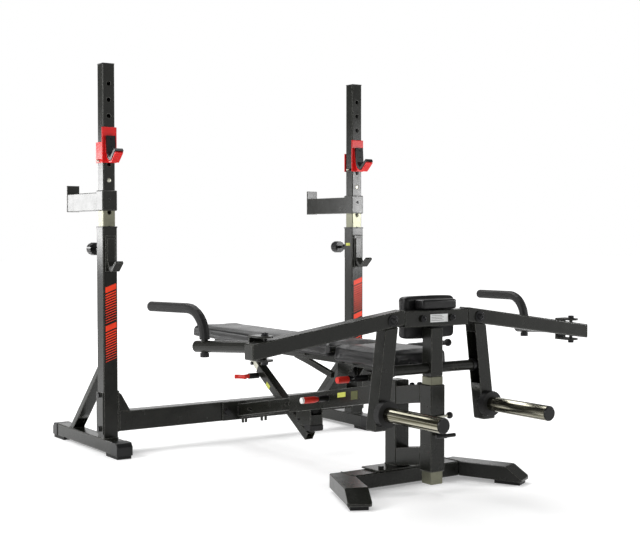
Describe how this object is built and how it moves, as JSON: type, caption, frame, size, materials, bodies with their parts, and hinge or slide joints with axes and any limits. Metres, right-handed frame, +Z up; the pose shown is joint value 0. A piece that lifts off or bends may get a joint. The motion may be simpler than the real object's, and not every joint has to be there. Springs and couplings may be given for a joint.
{
  "type": "olympic bench press",
  "caption": "Adjustable bench on a sloping spine with a rack of telescoping posts, bar hooks and safety arms, and a front lever with swivelling handles and weight horns.",
  "frame": {"origin": "on the floor, below the middle of the bounding box", "axes": "+Z up, +X to the right seen from the lever end, +Y from the lever end back to the rack"},
  "size_m": [1.503, 2.076, 1.517],
  "materials": {
    "charcoal_powder_coat": "satin",
    "black_plastic": "matte",
    "black_vinyl": "satin",
    "red_powder_coat": "gloss",
    "red_grip_plastic": "matte",
    "zinc_plate": "satin",
    "chrome": "polished"
  },
  "bodies": {
    "rack": {"left_foot": "charcoal_powder_coat", "right_foot": "charcoal_powder_coat", "left_upright_sleeve": "charcoal_powder_coat", "right_upright_sleeve": "charcoal_powder_coat", "left_rear_brace": "charcoal_powder_coat", "right_rear_brace": "charcoal_powder_coat", "crossbeam": "charcoal_powder_coat", "left_crossbeam_bracket": "charcoal_powder_coat", "right_crossbeam_bracket": "charcoal_powder_coat", "left_lower_hook": "charcoal_powder_coat", "right_lower_hook": "charcoal_powder_coat", "spine_rear_tube": "charcoal_powder_coat"},
    "left_post": {"left_upright_post": "charcoal_powder_coat"},
    "left_bar_hook": {"left_bar_hook": "red_powder_coat", "left_hook_liner": "black_plastic"},
    "left_safety_arm": {"left_safety_arm": "charcoal_powder_coat"},
    "left_height_knob": {"left_height_knob": "black_plastic"},
    "right_post": {"right_upright_post": "charcoal_powder_coat"},
    "right_bar_hook": {"right_bar_hook": "red_powder_coat", "right_hook_liner": "black_plastic"},
    "right_safety_arm": {"right_safety_arm": "charcoal_powder_coat"},
    "right_height_knob": {"right_height_knob": "black_plastic"},
    "bench": {"spine_sleeve": "charcoal_powder_coat", "strut_bracket": "charcoal_powder_coat", "rear_post": "charcoal_powder_coat", "front_post_sleeve": "charcoal_powder_coat", "upper_link": "charcoal_powder_coat", "lower_link": "charcoal_powder_coat", "front_foot_beam": "charcoal_powder_coat", "left_foot_wing": "charcoal_powder_coat", "right_foot_wing": "charcoal_powder_coat", "seat_post": "charcoal_powder_coat", "hinge_tube": "charcoal_powder_coat", "seat_pin_bracket": "charcoal_powder_coat"},
    "seat": {"seat_frame": "charcoal_powder_coat", "seat_pad": "black_vinyl"},
    "backrest": {"backrest_frame": "charcoal_powder_coat", "backrest_pad": "black_vinyl"},
    "strut": {"strut_outer": "charcoal_powder_coat"},
    "strut_rod": {"strut_inner": "zinc_plate"},
    "spine_pin": {"spine_pull_pin": "red_grip_plastic"},
    "seat_pin": {"seat_pull_pin": "red_grip_plastic"},
    "strut_pin": {"strut_pull_pin": "red_grip_plastic"},
    "lift": {"lift_post": "zinc_plate", "lift_head": "charcoal_powder_coat"},
    "lever": {"lever_beam": "charcoal_powder_coat", "left_lever_arm": "charcoal_powder_coat", "right_lever_arm": "charcoal_powder_coat", "left_lever_leg": "charcoal_powder_coat", "right_lever_leg": "charcoal_powder_coat", "pivot_tube": "charcoal_powder_coat", "left_weight_horn": "chrome", "right_weight_horn": "chrome", "chest_pad": "black_vinyl"},
    "left_forearm": {"left_forearm": "charcoal_powder_coat"},
    "left_handle": {"left_handle": "black_plastic"},
    "right_forearm": {"right_forearm": "charcoal_powder_coat"},
    "right_handle": {"right_handle": "black_plastic"},
    "height_lock_pin": {"height_lock_pin": "zinc_plate"},
    "clamp_handle": {"clamp_handle": "black_plastic"}
  },
  "joints": [
    {"name": "left_post_height", "type": "slide", "parent": "rack", "child": "left_post", "axis": [0, 0, 1], "range_m": [-0.06, 0.18]},
    {"name": "left_bar_hook_height", "type": "slide", "parent": "left_post", "child": "left_bar_hook", "axis": [0, 0, 1], "range_m": [0, 0.186]},
    {"name": "left_safety_arm_height", "type": "slide", "parent": "left_post", "child": "left_safety_arm", "axis": [0, 0, 1], "range_m": [0, 0.062]},
    {"name": "left_height_knob_pull", "type": "slide", "parent": "rack", "child": "left_height_knob", "axis": [0, 1, 0], "range_m": [0, 0.012], "stiffness_N_per_m": 400, "springref_m": -0.004},
    {"name": "right_post_height", "type": "slide", "parent": "rack", "child": "right_post", "axis": [0, 0, 1], "range_m": [-0.06, 0.18]},
    {"name": "right_bar_hook_height", "type": "slide", "parent": "right_post", "child": "right_bar_hook", "axis": [0, 0, 1], "range_m": [0, 0.186]},
    {"name": "right_safety_arm_height", "type": "slide", "parent": "right_post", "child": "right_safety_arm", "axis": [0, 0, 1], "range_m": [0, 0.062]},
    {"name": "right_height_knob_pull", "type": "slide", "parent": "rack", "child": "right_height_knob", "axis": [0, 1, 0], "range_m": [0, 0.012], "stiffness_N_per_m": 400, "springref_m": -0.004},
    {"name": "bench_reach", "type": "slide", "parent": "rack", "child": "bench", "axis": [0, 0.9836, -0.1805], "range_m": [0, 0.05]},
    {"name": "seat_tilt", "type": "hinge", "parent": "bench", "child": "seat", "pos_m": [0, -0.307, 0.452], "axis": [-1, 0, 0], "range_deg": [0, 4]},
    {"name": "backrest_tilt", "type": "hinge", "parent": "bench", "child": "backrest", "pos_m": [0, -0.307, 0.452], "axis": [1, 0, 0], "range_deg": [0, 45]},
    {"name": "strut_swing", "type": "hinge", "parent": "bench", "child": "strut", "pos_m": [0, 0.049, 0.15], "axis": [1, 0, 0], "range_deg": [0, 43]},
    {"name": "strut_extension", "type": "slide", "parent": "strut", "child": "strut_rod", "axis": [0, 0.8443, 0.5358], "range_m": [0, 0.36]},
    {"name": "spine_pin_pull", "type": "slide", "parent": "bench", "child": "spine_pin", "axis": [-1, 0, 0], "range_m": [0, 0.012], "stiffness_N_per_m": 400, "springref_m": -0.004},
    {"name": "seat_pin_pull", "type": "slide", "parent": "bench", "child": "seat_pin", "axis": [-1, 0, 0], "range_m": [0, 0.012], "stiffness_N_per_m": 400, "springref_m": -0.004},
    {"name": "strut_pin_pull", "type": "slide", "parent": "strut", "child": "strut_pin", "axis": [-1, 0, 0], "range_m": [0, 0.012], "stiffness_N_per_m": 400, "springref_m": -0.004},
    {"name": "lift_height", "type": "slide", "parent": "bench", "child": "lift", "axis": [0, 0, 1], "range_m": [0, 0.15]},
    {"name": "lever_swing", "type": "hinge", "parent": "lift", "child": "lever", "pos_m": [0, -0.717, 0.417], "axis": [-1, 0, 0], "range_deg": [0, 12]},
    {"name": "left_forearm_swivel", "type": "hinge", "parent": "lever", "child": "left_forearm", "pos_m": [-0.648, -0.714, 0.5155], "axis": [0, 0, -1], "range_deg": [-10, 30]},
    {"name": "left_handle_swivel", "type": "hinge", "parent": "left_forearm", "child": "left_handle", "pos_m": [-0.695, -0.426, 0.502], "axis": [0, 0, -1], "range_deg": [-45, 90]},
    {"name": "right_forearm_swivel", "type": "hinge", "parent": "lever", "child": "right_forearm", "pos_m": [0.648, -0.714, 0.5155], "axis": [0, 0, 1], "range_deg": [-10, 30]},
    {"name": "right_handle_swivel", "type": "hinge", "parent": "right_forearm", "child": "right_handle", "pos_m": [0.695, -0.426, 0.502], "axis": [0, 0, 1], "range_deg": [-45, 90]},
    {"name": "height_lock_pull", "type": "slide", "parent": "bench", "child": "height_lock_pin", "axis": [0, -1, 0], "range_m": [0, 0.01], "stiffness_N_per_m": 400, "springref_m": -0.004},
    {"name": "clamp_turn", "type": "hinge", "parent": "bench", "child": "clamp_handle", "pos_m": [0, -0.747, 0.2], "axis": [0, 1, 0], "continuous": true}
  ],
  "couplings": [
    {"joint": "strut_swing", "follows": "backrest_tilt", "ratio": 0.9458},
    {"joint": "strut_extension", "follows": "backrest_tilt", "m_per_rad": 0.4563}
  ]
}
